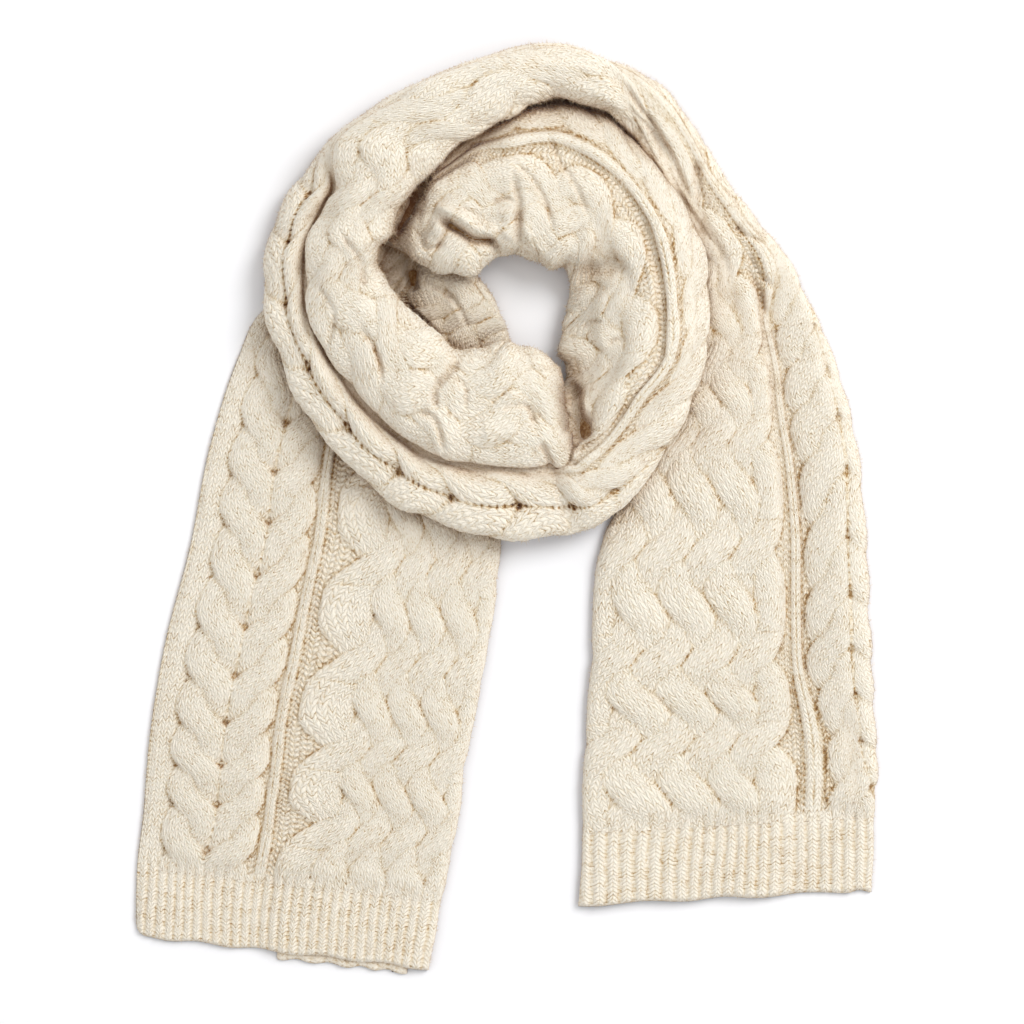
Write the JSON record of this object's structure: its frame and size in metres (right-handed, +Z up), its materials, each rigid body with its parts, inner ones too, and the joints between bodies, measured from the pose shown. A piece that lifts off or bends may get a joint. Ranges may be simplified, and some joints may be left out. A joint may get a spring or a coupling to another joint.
{
  "type": "cable-knit scarf",
  "caption": "Long knitted scarf with a woven cable, a plait and ribbed hems, wound round a neck opening and laid flat with both tails side by side.",
  "frame": {"origin": "on the surface that the scarf lies on, under the middle of its outline", "axes": "+Y away from the hems, towards the wound end; +X to the right seen from above; +Z up"},
  "size_m": [0.5913, 0.7422, 0.0623],
  "materials": {
    "cream_wool": "undyed cream wool, knitted with a soft halo"
  },
  "bodies": {
    "root": {"left_hem": "cream_wool", "left_hem_under": "cream_wool", "left_tail": "cream_wool", "left_shoulder": "cream_wool", "left_rise": "cream_wool", "loop_back": "cream_wool", "loop_right": "cream_wool", "loop_front": "cream_wool", "loop_left": "cream_wool", "loop_top": "cream_wool", "right_shoulder": "cream_wool", "right_tail": "cream_wool", "right_hem": "cream_wool", "right_hem_under": "cream_wool"}
  },
  "joints": []
}
